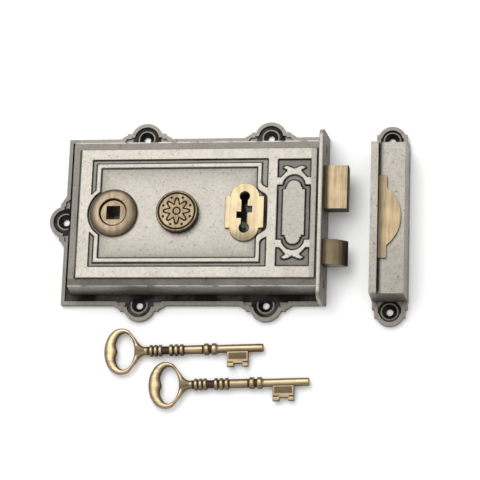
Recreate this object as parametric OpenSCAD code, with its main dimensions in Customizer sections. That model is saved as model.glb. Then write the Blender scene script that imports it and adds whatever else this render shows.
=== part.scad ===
// Two-bolt rim lock with its box keep and two keys, laid out on a bench.
// The lock lies on its door face (z = 0). Origin: centre of its four fixing screws.
// +X points out of the forend, along the bolts. +Z points out of the face, into the room.

/* [Fixing screws] */
// Spacing of the four fixing screws along the case
fix_dx = 75; // [72:0.5:78]
// Spacing of the four fixing screws across the case, also the height of the flange
fix_dy = 102; // [100:0.5:104]
// Radius of a fixing screw hole
screw_r = 2; // [1.8:0.1:2.3]

/* [Case] */
// Left edge of the flange, measured from the origin
flange_left = 84.5; // [83:0.5:86]
// Thickness of the flange
flange_t = 2.5; // [2:0.1:3]
// Height of the rim round the flange
rim_top = 4; // [3.6:0.1:4.5]
// Width of that rim
rim_w = 2.2; // [1.8:0.1:2.6]
// Bare flange between its edge and the wall
margin = 6; // [5.5:0.1:6.5]
// Height of the ledge round the face
ledge_z = 20.3; // [19.8:0.1:21]
// Height of the face
face_z = 21.9; // [21.5:0.1:22.6]
// Depth of the sunken ornament
relief = 1; // [0.6:0.1:1.3]
// Thickness of the case wall
wall_t = 3; // [2.5:0.1:3.2]

/* [Forend] */
// Inner face of the forend plate
forend_x = 68.6; // [68.4:0.1:69]
// Thickness of the forend at its front edge
forend_t = 2.6; // [2.2:0.1:3]

/* [Bolts] */
// How far both bolts stand out of the forend, and how far they travel
throw = 14; // [12:0.5:14]
// Thickness of both bolts
bolt_t = 8.4; // [7.5:0.1:8.6]
// Height of the dead bolt's head across the forend
dead_h = 26; // [24:0.5:26.5]
// Height of the latch bolt's head across the forend
latch_h = 15.2; // [13:0.2:15.6]

/* [Follower] */
// Side of the square spindle hole
spindle = 8.2; // [8:0.1:8.4]
// Radius of the hub where it passes through the face
neck_r = 7.4; // [7:0.1:7.6]

/* [Keyhole] */
// Distance of each round of the keyhole from the middle
key_dy = 9.5; // [9:0.1:10]
// Radius of each round
key_r = 2.85; // [2.6:0.05:3]
// Width of the slot between them
slot_w = 3.4; // [3:0.1:3.6]

/* [Keys] */
// Radius of the key's shank
shank_r = 2.15; // [1.9:0.05:2.3]
// Distance from the key's axis to the end of its bit
bit_r = 10.8; // [10:0.1:11]

/* [Hidden] */
$fn = 48;
eps = 0.01;
fit = 0.05;                          // radial running clearance
half_h = fix_dy / 2;                 // flange edge, top and bottom
back_t = 1.8;                        // thickness of the back plate
inner_z = ledge_z - 2.7;             // underside of the face
face_left = -flange_left + margin + 6; // left edge of the raised face
face_half = half_h - margin - 6;     // top and bottom edge of the raised face
floor_z = face_z - relief;           // bottom of the sunken ornament
wall_in_x = -flange_left + margin + wall_t;
wall_in_y = half_h - margin - wall_t;
bolt_z = 8.6;                        // underside of both bolts
bolt_mid_z = bolt_z + bolt_t / 2;
forend_out = forend_x + forend_t;
forend_screw_y = 39.5;
forend_screw_z = 12;
bolt_end = forend_out + throw + 0.4;
dead_y = 16.4;                       // middle of the dead bolt
latch_y = -22.2;                     // middle of the latch bolt
tail_t = 3;                          // thickness of the dead bolt's tail
follower_x = -51.5;
rose_rise = 2.5;                     // how far the rose stands over the face
hub_rise = 0.9;                      // how far the hub does, sunk inside the rose
badge_x = -13.3;
key_x = 26;                          // axis of the keyhole
lever_post = [-18, 27];
stump = [40, 27];                    // stump on the dead bolt's tail
guide = [6, 19.5];                   // post in the slot of that tail
lever_t = 1.2;
lever_pitch = 1.6;
lever_z = bolt_z + tail_t + 0.6;     // underside of the lowest lever
pillars = [[-69, 36], [-69, -36], [61.5, 37], [61.5, -37]];
lugs = [[-fix_dx/2, half_h, 0], [fix_dx/2, half_h, 0], [-fix_dx/2, -half_h, 180],
        [fix_dx/2, -half_h, 180], [-flange_left, 0, 90]];
keep_y = -3.2;                         // middle of the keep
keep_half = 45;                      // half the length of its box
keep_x = 98.9;                       // front of its striking plate
keep_lip = 4.4;                      // thickness of that plate
keep_gap = 1.6;                      // groove behind the plate
keep_right = 118.6;
keep_top = 21.5;
keep_lip_top = 23;
keep_lug = 51.6;                     // screw holes from the middle of the keep
keep_mid_x = 109.6;
key_z = 3.5;                         // height of a key's axis as it lies
key_turn = 1.85;                     // angle at which both keys lie
key_places = [[-56.7, -79.1], [-29.5, -98.9]];
pewter = [0.62, 0.60, 0.56];
antique_brass = [0.66, 0.53, 0.33];
steel = [0.55, 0.56, 0.58];

// ---------- outlines ----------

// Rectangle between two corners.
module span(x0, y0, x1, y1) {
    translate([x0, y0]) square([x1 - x0, y1 - y0]);
}

// Rectangle between two corners, with rounded corners.
module round_span(x0, y0, x1, y1, r) {
    span(x0 + r, y0, x1 - r, y1);
    span(x0, y0 + r, x1, y1 - r);
    for (x = [x0 + r, x1 - r], y = [y0 + r, y1 - r])
        translate([x, y]) circle(r);
}

// One screw lug: a round ear on stepped shoulders that slope into the edge. in insets it.
module lug(inset = 0) {
    circle(9.6 - inset);
    span(-11.6 + inset, -4, 11.6 - inset, 3.3 - inset);
    polygon([[-15.8 + inset, -inset], [-12, 2.4 - inset], [12, 2.4 - inset], [15.8 - inset, -inset],
        [15.8 - inset, -4], [-15.8 + inset, -4]]);
}

// Outline of the flange with its five lugs, inset all round but at the forend.
module flange_outline(inset = 0) {
    span(-flange_left + inset, -half_h + inset, forend_x, half_h - inset);
    for (l = lugs)
        translate([l[0], l[1]]) rotate(l[2]) lug(inset);
}

// Double keyhole: two rounds joined by a slot, with one side notch each way.
module keyhole(grow = 0) {
    for (s = [-1, 1])
        translate([0, s * key_dy]) circle(key_r + grow);
    span(-slot_w/2 - grow, -key_dy, slot_w/2 + grow, key_dy);
    span(0, -0.1 - grow, 4.4 + grow, 3.5 + grow);
    span(-4.4 - grow, -3.5 - grow, 0, 0.1 + grow);
}

// Half-round ogee that carries the panel out round the escutcheon.
module escutcheon_bay() {
    span(30, -10.2, 38.4, 10.2);
    polygon([[30, 17.6], [32.8, 17.6], [33.2, 15.4], [34.4, 13.2], [36.4, 11.7], [37.7, 11], [38.4, 10.2],
        [38.4, -10.2], [37.7, -11], [36.4, -11.7], [34.4, -13.2], [33.2, -15.4], [32.8, -17.6], [30, -17.6]]);
}

// Sunken middle panel, carried out round the escutcheon and round the rose.
module panel() {
    round_span(-59.9, -27, 32.8, 27.4, 1.5);
    escutcheon_bay();
    translate([follower_x, 0]) circle(15.6);
}

// Ground left standing round the panel: the moulding itself.
module moulding() {
    round_span(-62.8, -29.8, 35.4, 30.1, 1.2);
    polygon([[30, 20], [35.4, 20], [35.7, 17.6], [36.6, 16.2], [39.5, 14.4], [39.5, -14.4], [36.6, -16.2],
        [35.7, -17.6], [35.4, -20], [30, -20]]);
    translate([follower_x, 0]) circle(18.2);
    span(-70, -12.8, follower_x, 12.8);
}

// Channel round the moulding.
module channel() {
    difference() {
        round_span(-65.4, -32.1, 38.9, 32.4, 1);
        moulding();
    }
}

// Sunken border of the tablet beside the forend: an arch at each end.
module tablet_recess() {
    difference() {
        union() {
            span(-9.6, -16.4, 9.6, 16.4);
            for (s = [-1, 1])
                translate([0, s * 15.3]) circle(7.2);
        }
        span(-6.4, -14, 6.4, 14);
        for (s = [-1, 1])
            translate([0, s * 14.3]) circle(4.9);
    }
}

// Sunken ground above the tablet, with crossed ribbon ends left standing.
module ribbon_recess() {
    half = [[0, 32], [9.2, 32], [9.6, 31.6], [9.6, 21.4], [9, 20.8], [7.8, 20.8], [4.4, 25.2], [6.5, 27.1],
        [5, 27.8], [2.6, 27.6], [1.2, 27.2], [0, 26.5]];
    polygon(half);
    mirror([1, 0]) polygon(half);
}

// ---------- the case ----------

// Solid between two rectangles, the upper one drawn in by the draft of the casting.
module drafted(x0, x1, half0, half1, z0, z1, draft) {
    hull() {
        translate([x0, -half0, z0]) cube([x1 - x0, 2 * half0, eps]);
        translate([x0 + draft, -half1, z1 - eps]) cube([x1 - x0 - draft, 2 * half1, eps]);
    }
}

module case_body() {
    linear_extrude(flange_t) flange_outline();
    linear_extrude(rim_top) difference() {
        flange_outline();
        flange_outline(rim_w);
    }
    for (l = lugs)
        translate([l[0], l[1], 0]) cylinder(r = 5, h = flange_t + 0.9);
    drafted(-flange_left + margin, forend_x, half_h - margin, half_h - margin - 1.3, 0, ledge_z, 1.3);
    translate([0, 0, ledge_z - 1]) linear_extrude(face_z - ledge_z + 1)
        span(face_left, -face_half, forend_x - 1, face_half);
}

module case_casting() color(pewter) difference() {
    union() {
        difference() {
            case_body();
            translate([wall_in_x, -wall_in_y, -1]) cube([forend_x - wall_in_x + 1, 2 * wall_in_y, inner_z + 1]);
        }
        for (p = pillars)
            translate([p[0], p[1], back_t]) cylinder(r = 3.4, h = inner_z - back_t + 1);
    }
    for (l = lugs) {
        translate([l[0], l[1], -1]) cylinder(r = screw_r, h = 9);
        translate([l[0], l[1], 1.2]) cylinder(r1 = screw_r, r2 = screw_r + 2.3, h = 2.3);
    }
    for (p = pillars)
        translate([p[0], p[1], 0]) cylinder(r = 1.25, h = back_t + 8);
    translate([0, 0, floor_z]) linear_extrude(relief + 1) {
        panel();
        channel();
        translate([54.5, 0]) {
            tablet_recess();
            ribbon_recess();
            mirror([0, 1]) ribbon_recess();
        }
    }
    translate([follower_x, 0, 0]) cylinder(r = neck_r + fit, h = face_z + 1);
    translate([badge_x, 0, 0]) cylinder(r = 1.5, h = face_z + 1);
    for (s = [-1, 1])
        translate([key_x + s * 8.5, 0, 0]) cylinder(r = 1, h = face_z + 1);
    translate([key_x, 0, 0]) linear_extrude(face_z + 1) keyhole(0.4);
    for (s = [-1, 1])
        translate([forend_x - 9.5, s * forend_screw_y, forend_screw_z]) rotate([0, 90, 0]) cylinder(r = 1.6, h = 10);
}

// Forend: a drafted plate with rounded front corners, slotted for both bolts.
module forend_slot(y, h) {
    translate([forend_x - 2, y - h/2 - 0.3, bolt_z - 0.3]) cube([10, h + 0.6, bolt_t + 0.6]);
}

module forend() color(pewter) difference() {
    intersection() {
        translate([0, half_h, 0]) rotate([90, 0, 0]) linear_extrude(fix_dy)
            polygon([[forend_x, 0], [forend_out + 1.4, 0], [forend_out, face_z + 1], [forend_x, face_z + 1]]);
        translate([forend_x - 1, 0, 0]) rotate([90, 0, 90]) linear_extrude(10) {
            span(-half_h, -1, half_h, face_z - 4);
            round_span(-half_h, 0, half_h, face_z + 1, 5);
        }
    }
    forend_slot(dead_y, dead_h);
    forend_slot(latch_y, latch_h);
    for (s = [-1, 1])
        translate([forend_x - 1, s * forend_screw_y, forend_screw_z]) rotate([0, 90, 0]) {
            cylinder(r = 1.6, h = 9);
            translate([0, 0, 2.2]) cylinder(r1 = 1.6, r2 = 4.2, h = 2.6);
        }
}

module forend_screws() color(steel) for (s = [-1, 1])
    translate([forend_x - 1, s * forend_screw_y, forend_screw_z]) rotate([0, 90, 0]) difference() {
        union() {
            translate([0, 0, -8]) cylinder(r = 1.5, h = 10.3);
            translate([0, 0, 2.2]) cylinder(r1 = 1.5, r2 = 3, h = 1.5);
        }
        translate([-4, -0.4, 3]) cube([8, 0.8, 2]);
    }

module back_plate() color(steel) difference() {
    translate([wall_in_x + 0.2, -wall_in_y + 0.2, 0])
        cube([forend_x - wall_in_x - 0.4, 2 * wall_in_y - 0.4, back_t]);
    translate([follower_x, 0, -1]) cylinder(r = neck_r + fit, h = 5);
    translate([key_x, 0, -1]) linear_extrude(5) keyhole(0.4);
    for (p = pillars) {
        translate([p[0], p[1], -1]) cylinder(r = 1.4, h = 5);
        translate([p[0], p[1], -eps]) cylinder(r1 = 2.8, r2 = 1.4, h = 1.4);
    }
    for (p = [[20.2, latch_y - 8], [20.2, latch_y + 8]])
        translate([p[0], p[1], -1]) cylinder(r = 1.1, h = 5);
}

module cap_screws() color(steel) for (p = pillars)
    translate([p[0], p[1], 0.2]) difference() {
        union() {
            cylinder(r1 = 2.4, r2 = 1.2, h = 1.2);
            cylinder(r = 1.2, h = 8.5);
        }
        translate([-4, -0.3, -1]) cube([8, 0.6, 1.5]);
    }

// ---------- furniture on the face ----------

module rose() color(antique_brass) translate([follower_x, 0, 0]) rotate_extrude()
    polygon([[neck_r + 0.3, floor_z], [14.3, floor_z], [14.3, face_z + 0.5], [13.3, face_z + rose_rise - 1.1],
        [10.6, face_z + rose_rise - 0.2], [neck_r + 0.3, face_z + rose_rise]]);

module badge() color(antique_brass) translate([badge_x, 0, 0]) difference() {
    rotate_extrude()
        polygon([[0, floor_z], [12.4, floor_z], [12.4, face_z + 3.2], [11.7, face_z + 4], [0, face_z + 4]]);
    translate([0, 0, face_z + 3.6]) difference() {
        cylinder(r = 11.1, h = 1);
        cylinder(r = 10.4, h = 1);
    }
    for (i = [0:7])
        rotate(i * 45) translate([5.6, 0, face_z + 3.6]) cylinder(r = 1.9, h = 1);
    translate([0, 0, face_z + 3.6]) cylinder(r = 1.8, h = 1);
}

module badge_stud() color(steel) translate([badge_x, 0, 0]) {
    translate([0, 0, inner_z - 1.2]) cylinder(r = 1.45, h = floor_z - inner_z + 1.2);
    translate([0, 0, inner_z - 1.4]) cylinder(r = 2.6, h = 1.3);
}

module escutcheon_outline() {
    span(-11.4, -9.6, 11.4, 9.6);
    span(-8.7, -8.8, 8.7, 8.8);
    for (s = [-1, 1])
        translate([0, s * 8.8]) circle(8.7);
}

module escutcheon() color(antique_brass) translate([key_x, 0, floor_z]) linear_extrude(1.8)
    difference() {
        escutcheon_outline();
        keyhole();
    }

module escutcheon_studs() color(steel) for (s = [-1, 1])
    translate([key_x + s * 8.5, 0, 0]) {
        translate([0, 0, inner_z - 1]) cylinder(r = 0.95, h = floor_z - inner_z + 1);
        translate([0, 0, inner_z - 1.2]) cylinder(r = 1.7, h = 1.1);
    }

// ---------- follower, latch bolt and its spring ----------

module follower() color(antique_brass) translate([follower_x, 0, 0]) difference() {
    union() {
        cylinder(r = neck_r, h = face_z + hub_rise);
        translate([0, 0, back_t + 0.2]) cylinder(r = 8.6, h = inner_z - back_t - 0.4);
        translate([0, 0, 15.2]) linear_extrude(2) {
            span(-3, -21.5, 3, 0);
            translate([0, -21.5]) circle(3);
        }
    }
    translate([-spindle/2, -spindle/2, -1]) cube([spindle, spindle, 30]);
}

// Side view of the latch head: flat behind, then bevelled in a long curve towards the face.
module latch_profile() {
    bevel_r = 18;
    difference() {
        polygon([[58, bolt_z], [bolt_end - 1.2, bolt_z], [bolt_end, bolt_z + 1.2], [bolt_end, bolt_z + bolt_t],
            [58, bolt_z + bolt_t]]);
        difference() {
            span(bolt_end - 14, bolt_z + 1, bolt_end + 1, bolt_z + bolt_t + 1);
            translate([bolt_end - 14, bolt_z + bolt_t - bevel_r]) circle(bevel_r, $fn = 96);
        }
    }
}

module latch_bolt() color(antique_brass) difference() {
    translate([0, latch_y + latch_h/2, 0]) rotate([90, 0, 0]) linear_extrude(latch_h) latch_profile();
    translate([57, latch_y - 2.55, bolt_mid_z - 2.05]) cube([7, 5.1, 4.1]);
}

module latch_tail() color(steel) {
    translate([-60, latch_y - 2.5, bolt_mid_z - 2]) cube([123.9, 5, 4]);
    translate([-60, latch_y - 3.6, bolt_mid_z - 2]) cube([5, 8, 6.4]);
}

// Coil spring along +X: a wire of side square-on ring points swept round the helix.
module coil(x0, x1, mean_r, wire_r, turns) {
    rings = turns * 14;
    sides = 6;
    function ring_centre(i) = [x0 + (x1 - x0) * i / rings, mean_r * cos(360 * turns * i / rings),
        mean_r * sin(360 * turns * i / rings)];
    function ring_point(i, k) = let(a = 360 * turns * i / rings, b = 360 * k / sides)
        ring_centre(i) + wire_r * [sin(b), cos(b) * cos(a), cos(b) * sin(a)];
    points = [for (i = [0:rings], k = [0:sides - 1]) ring_point(i, k)];
    walls = [for (i = [0:rings - 1], k = [0:sides - 1]) let(n = (k + 1) % sides)
        [i * sides + k, i * sides + n, (i + 1) * sides + n, (i + 1) * sides + k]];
    first = [for (k = [0:sides - 1]) sides - 1 - k];
    last = [for (k = [0:sides - 1]) rings * sides + k];
    polyhedron(points, concat([first], walls, [last]));
}

module latch_spring() color(steel)
    translate([0, latch_y, bolt_mid_z]) coil(22.2, 57.3, 4.1, 0.5, 10);

module spring_stop() color(steel) {
    difference() {
        translate([19, latch_y - 6, back_t]) cube([2.4, 12, inner_z - back_t - 0.2]);
        translate([18, latch_y - 2.8, bolt_mid_z - 2.3]) cube([5, 5.6, 4.6]);
    }
    translate([19, latch_y - 10, back_t]) cube([2.4, 20, 1.6]);
    for (s = [-1, 1])
        translate([20.2, latch_y + s * 8, 0.1]) cylinder(r = 1.05, h = back_t + 2.4);
}

module latch_guides() color(steel) for (s = [-1, 1])
    translate([-28, latch_y + s * 4.4, back_t]) {
        cylinder(r = 1.6, h = 14);
        cylinder(r = 2.6, h = 1.2);
    }

// ---------- dead bolt and levers ----------

module dead_bolt() color(antique_brass) difference() {
    union() {
        translate([59.5, dead_y - dead_h/2, bolt_z]) cube([bolt_end - 59.5, dead_h, bolt_t]);
        translate([0.4, 15, bolt_z]) cube([60, 15.5, tail_t]);
    }
    translate([bolt_end - 0.7, dead_y - dead_h, bolt_z + bolt_t]) rotate([0, 45, 0]) cube([3, 2 * dead_h, 3]);
    translate([0, 0, bolt_z - 1]) linear_extrude(tail_t + 2) {
        span(guide[0], guide[1] - 2.3, guide[0] + throw, guide[1] + 2.3);
        for (x = [0, throw])
            translate([guide[0] + x, guide[1]]) circle(2.3);
        span(29, 14, 36, 20.6);
    }
    translate([stump[0], stump[1], bolt_z - 1]) cylinder(r = 1.8, h = 6);
}

module bolt_stump() color(steel)
    translate([stump[0], stump[1], bolt_z + 0.3]) cylinder(r = 1.8, h = inner_z - bolt_z - 1);

module bolt_guide() color(steel) translate([guide[0], guide[1], back_t]) {
    cylinder(r = 2, h = 12);
    cylinder(r = 3.6, h = 4);
}

module lever_post() color(steel) translate([lever_post[0], lever_post[1], back_t]) {
    cylinder(r = 2.4, h = inner_z - back_t - 0.1);
    cylinder(r = 4, h = lever_z - back_t - 0.3);
}

// A lever: boss on the post, arm over the bolt's tail, open gate for the stump, belly for the key.
module lever_plate(belly) {
    difference() {
        union() {
            circle(5);
            span(0, -5, 62, 5.2);
            span(36, -6.8, 62, 5.2);
            translate([44, -4]) circle(belly);
        }
        circle(2.4 + fit);
        span(stump[0] - lever_post[0] - throw - 2.6, -4.8, stump[0] - lever_post[0] + 2.6, 2.4);
    }
}

module lever(i) translate([lever_post[0], lever_post[1], lever_z + (i - 1) * lever_pitch])
    linear_extrude(lever_t) lever_plate(4.6 + 0.5 * i);

module lever_1() color(antique_brass) lever(1);
module lever_2() color(antique_brass) lever(2);
module lever_3() color(antique_brass) lever(3);

// Leaf spring lying on the top edge of a lever, then rising towards the case wall.
module lever_spring(i) translate([0, lever_post[1] + 5.2, lever_z + (i - 1) * lever_pitch + 0.1])
    linear_extrude(lever_t - 0.2)
        polygon([[-14, 0], [-2, 0], [30, 8.6], [29.7, 9.2], [-2.2, 0.7], [-14, 0.7]]);

module lever_spring_1() color(steel) lever_spring(1);
module lever_spring_2() color(steel) lever_spring(2);
module lever_spring_3() color(steel) lever_spring(3);

// ---------- the keep ----------

module keep_outline(inset = 0) {
    span(keep_x + inset, -keep_half + inset, keep_right + 1.6 - inset, keep_half - inset);
    for (s = [-1, 1])
        translate([keep_mid_x, s * keep_lug]) {
            circle(8.4 - inset);
            span(-8.9 + inset, s > 0 ? -9 : -3.4 + inset, 8.9 - inset, s > 0 ? 3.4 - inset : 9);
            span(-10.2 + inset, s > 0 ? -9 : 1.5 + inset, 10.2 - inset, s > 0 ? -1.5 - inset : 9);
        }
}

module keep_mouth(y, h) {
    translate([keep_x - 1, y - keep_y - h/2 - 0.9, bolt_z - 0.8]) cube([8, h + 1.8, bolt_t + 1.6]);
}

module keep_body() {
    linear_extrude(flange_t) keep_outline();
    linear_extrude(rim_top) difference() {
        keep_outline();
        keep_outline(rim_w);
    }
    for (s = [-1, 1])
        translate([keep_mid_x, s * keep_lug, 0]) cylinder(r = 5, h = flange_t + 0.9);
    translate([keep_x, -keep_half, 0]) cube([keep_lip, 2 * keep_half, keep_lip_top]);
    hull() {
        translate([keep_x + 1, -keep_half - 0.9, 0])
            cube([keep_right + 0.6 - keep_x, 2 * keep_half + 1.8, eps]);
        translate([keep_x + 1, -keep_half, keep_top - eps]) cube([keep_right - keep_x - 1, 2 * keep_half, eps]);
    }
}

module keep_casting() color(pewter) translate([0, keep_y, 0]) difference() {
    keep_body();
    translate([keep_x + keep_lip, -keep_half + 2.6, -1])
        cube([keep_right - keep_x - keep_lip - 2, 2 * keep_half - 5.2, keep_top - 1.6]);
    translate([keep_x + keep_lip, -keep_half + 1.5, keep_top - 2]) cube([keep_gap, 2 * keep_half, 6]);
    keep_mouth(dead_y, dead_h);
    keep_mouth(latch_y, latch_h);
    for (s = [-1, 1]) {
        translate([keep_mid_x, s * keep_lug, -1]) cylinder(r = screw_r, h = 9);
        translate([keep_mid_x, s * keep_lug, 1.2]) cylinder(r1 = screw_r, r2 = screw_r + 2.3, h = 2.3);
        translate([keep_x + 8, s * 20, 0]) cylinder(r = 1.2, h = keep_top + 1);
    }
}

// Striking piece: a plate with a bowed edge and a straight tab at each end, and a turned-down flange.
module strike_outline() {
    bow_r = 22;
    x0 = keep_x + 5;
    difference() {
        span(x0, -18, x0 + 12.8, 18);
        difference() {
            span(x0 + 4.6, -20, x0 + 20, 20);
            translate([x0 + 12.8 - bow_r, 0]) circle(bow_r, $fn = 96);
        }
    }
    round_span(x0, -24.6, x0 + 4.7, 24.6, 0.6);
}

module keep_strike() color(antique_brass) translate([0, keep_y, 0]) {
    translate([0, 0, keep_top]) linear_extrude(1.6) strike_outline();
    translate([keep_x + 5, -24, keep_top - 1.8]) cube([0.9, 48, 2.5]);
}

module keep_strike_studs() color(steel) for (s = [-1, 1])
    translate([keep_x + 8, keep_y + s * 20, keep_top - 3.3]) {
        cylinder(r = 1.15, h = 3.3);
        cylinder(r = 2, h = 0.6);
    }

// ---------- keys ----------

// Rounded moulding ring on the key's shank, centred at x.
module key_ring(x, r, w) {
    translate([x - w/2, 0, 0]) rotate([0, 90, 0]) cylinder(r = r, h = w);
}

// Egg-shaped closed outline of half-length a and half-width b, fuller towards one end.
function egg(a, b, skew, n = 40) = [for (i = [0:n - 1]) let(t = 360 * i / n)
    [a * cos(t) - skew * sin(t) * sin(t), b * sin(t)]];

module key_bow() {
    difference() {
        union() {
            translate([10.6, 0]) polygon(egg(10.6, 13.7, 0.6));
            polygon([[15, 11.6], [19, 7.4], [22, 4.2], [26, 2.7], [26, -2.7], [22, -4.2], [19, -7.4], [15, -11.6]]);
        }
        difference() {
            translate([12.1, 0]) polygon(egg(5.9, 10.7, -0.4));
            polygon([[5, 2.6], [6.4, 1.6], [7.1, 0], [6.4, -1.6], [5, -2.6]]);
        }
    }
}

// Bit with two teeth, drawn hanging from the shank's axis.
module key_bit() {
    difference() {
        span(72.6, -bit_r, 85, 0);
        span(76.6, -bit_r - 1, 81.6, -bit_r + 1.9);
    }
}

module key(place) color(antique_brass) translate([place[0], place[1], key_z]) rotate(key_turn) {
    translate([0, 0, -2.2]) linear_extrude(4.4) key_bow();
    translate([0, 0, -1.3]) linear_extrude(2.6) key_bit();
    translate([25, 0, 0]) rotate([0, 90, 0]) cylinder(r = 2.6, h = 41.6);
    translate([66, 0, 0]) rotate([0, 90, 0]) cylinder(r = shank_r, h = 27.6);
    translate([93.6, 0, 0]) rotate([0, 90, 0]) cylinder(r1 = shank_r, r2 = shank_r - 0.6, h = 0.7);
    for (x = [28, 30.7, 33.4, 39.8, 42.9, 46])
        key_ring(x, 3.5, 1.8);
    for (x = [60.6, 65.1])
        key_ring(x, 3.5, 2.6);
}

module key_1() key(key_places[0]);
module key_2() key(key_places[1]);

case_casting();
forend();
forend_screws();
back_plate();
cap_screws();
rose();
follower();
badge();
badge_stud();
escutcheon();
escutcheon_studs();
dead_bolt();
bolt_stump();
bolt_guide();
latch_bolt();
latch_tail();
latch_spring();
spring_stop();
latch_guides();
lever_post();
lever_1();
lever_2();
lever_3();
lever_spring_1();
lever_spring_2();
lever_spring_3();
keep_casting();
keep_strike();
keep_strike_studs();
key_1();
key_2();
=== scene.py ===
# %% [markdown]
# # A cast rim lock, its box keep and its keys
# A rim lock is screwed to the inside face of a door. Its case is one iron casting: a box on a flange,
# with sunken ornament on the face. Brass furniture sits on it, and two bolts stand out of its end plate,
# the forend. The exact solids come from the packed frame. This lesson gives each piece the soft edges and
# the finish that casting, brushing and age leave behind.

import math

import bmesh
import bpy
import numpy as np
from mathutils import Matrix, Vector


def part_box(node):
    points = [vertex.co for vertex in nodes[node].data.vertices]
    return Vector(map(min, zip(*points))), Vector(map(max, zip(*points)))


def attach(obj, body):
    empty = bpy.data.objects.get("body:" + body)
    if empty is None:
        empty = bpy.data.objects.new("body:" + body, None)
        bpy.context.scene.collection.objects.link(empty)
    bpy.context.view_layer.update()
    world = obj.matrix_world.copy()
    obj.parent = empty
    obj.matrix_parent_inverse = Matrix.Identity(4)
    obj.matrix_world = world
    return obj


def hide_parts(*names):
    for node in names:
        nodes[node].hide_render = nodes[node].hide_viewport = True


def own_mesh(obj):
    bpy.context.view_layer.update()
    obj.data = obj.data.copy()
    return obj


MM = 0.001
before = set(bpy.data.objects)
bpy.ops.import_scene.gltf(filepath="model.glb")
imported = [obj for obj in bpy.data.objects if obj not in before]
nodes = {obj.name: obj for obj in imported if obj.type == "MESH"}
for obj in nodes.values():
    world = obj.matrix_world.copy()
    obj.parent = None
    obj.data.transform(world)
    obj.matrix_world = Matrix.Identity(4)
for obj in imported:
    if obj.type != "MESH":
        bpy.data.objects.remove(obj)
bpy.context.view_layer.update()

# %% [markdown]
# ## Places
# Every piece goes where the frame says. A node's box gives the middle of a round thing, or the side of a
# flat one, so these values are read once here and used by name below. Lengths in this lesson are in
# millimetres.

# %% Read places from the frame
def low_high(node):
    """Lowest and highest corner of a node, as two arrays in millimetres."""
    low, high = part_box(node)
    return np.array(low) / MM, np.array(high) / MM


def middle(node):
    """Middle of a node's box, in millimetres."""
    low, high = low_high(node)
    return (low + high) / 2


rose_x = middle("rose")[0]
badge_x = middle("badge")[0]
keyhole_x = middle("escutcheon")[0]
forend_in = low_high("forend")[0][0]
face_z = low_high("forend")[1][2] - 1
relief = 1.0
ledge_z = face_z - 1.6
print(f"rose at x {rose_x:.1f}, badge at {badge_x:.1f}, keyhole at {keyhole_x:.1f}, face at z {face_z:.1f}")

# %% [markdown]
# ## Surfaces from grids
# A new piece is a grid of points: each row is one step of the first parameter, each column one step of
# the second. Four neighbours make a face. Closed directions wrap round, and points that fall together at
# a pole are merged.

# %% Make a mesh from a grid of points
def surface(name, points, wrap_u=False, wrap_v=False, keep=None, sharp=35, **values):
    """Mesh of the grid points[i, j]: cell (i, j) joins point (i, j) to its next in each direction.
    keep marks the cells that become faces. values are numbers per point, kept as attributes."""
    rows, cols = points.shape[:2]
    i, j = np.meshgrid(np.arange(rows - (not wrap_u)), np.arange(cols - (not wrap_v)), indexing="ij")
    i2, j2 = (i + 1) % rows, (j + 1) % cols
    faces = np.stack([i * cols + j, i2 * cols + j, i2 * cols + j2, i * cols + j2], axis=-1).reshape(-1, 4)
    if keep is not None:
        faces = faces[keep.ravel()]
    mesh = bpy.data.meshes.new(name)
    mesh.from_pydata((points.reshape(-1, 3) * MM).tolist(), [], faces.tolist())
    for key, numbers in values.items():
        layer = mesh.attributes.new(key, "FLOAT", "POINT")
        layer.data.foreach_set("value", numbers.astype(np.float32).ravel())
    closed = keep is None
    tidy_mesh(mesh, closed)
    mesh.set_sharp_from_angle(angle=math.radians(sharp))
    return new_object(name, mesh)


# %% [markdown]
# ## Cleaning, linking and placing
# Points that fall together are merged, which closes seams and poles, and a closed surface is turned to face
# outwards. Every piece then needs a finish, the body that it moves with, and the material slot that it answers to.
# One function gives each piece its finish and its body the same way, so neither is forgotten.

# %% Clean, link and place a piece
def tidy_mesh(mesh, turn_outwards):
    """Merges points that coincide, drops loose ones, and turns a closed surface's faces outwards."""
    work = bmesh.new()
    work.from_mesh(mesh)
    bmesh.ops.remove_doubles(work, verts=work.verts, dist=1e-7)
    loose = [v for v in work.verts if not v.link_faces]
    bmesh.ops.delete(work, geom=loose, context="VERTS")
    if turn_outwards:
        bmesh.ops.recalc_face_normals(work, faces=work.faces)
    for face in work.faces:
        face.smooth = True
    work.to_mesh(mesh)
    work.free()


def new_object(name, mesh):
    """Object of a mesh, linked at the origin."""
    piece = bpy.data.objects.new(name, mesh)
    bpy.context.scene.collection.objects.link(piece)
    return piece


def place(piece, body, slot, material, *stands_for):
    """Gives a piece its finish and its body, and hides the nodes that it stands for. The slot is not used."""
    piece.data.materials.clear()
    piece.data.materials.append(material)
    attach(piece, body)
    if stands_for:
        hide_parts(*stands_for)
    print(f"{piece.name}: {len(piece.data.polygons)} faces on {body}")
    return piece


# %% [markdown]
# ## Softened copies
# A casting or a filed brass plate never has a knife edge. For plain shapes it is enough to copy the exact
# solid, merge its loose triangles, join those that lie in one plane, and round every edge with a Bevel
# modifier.

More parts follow.
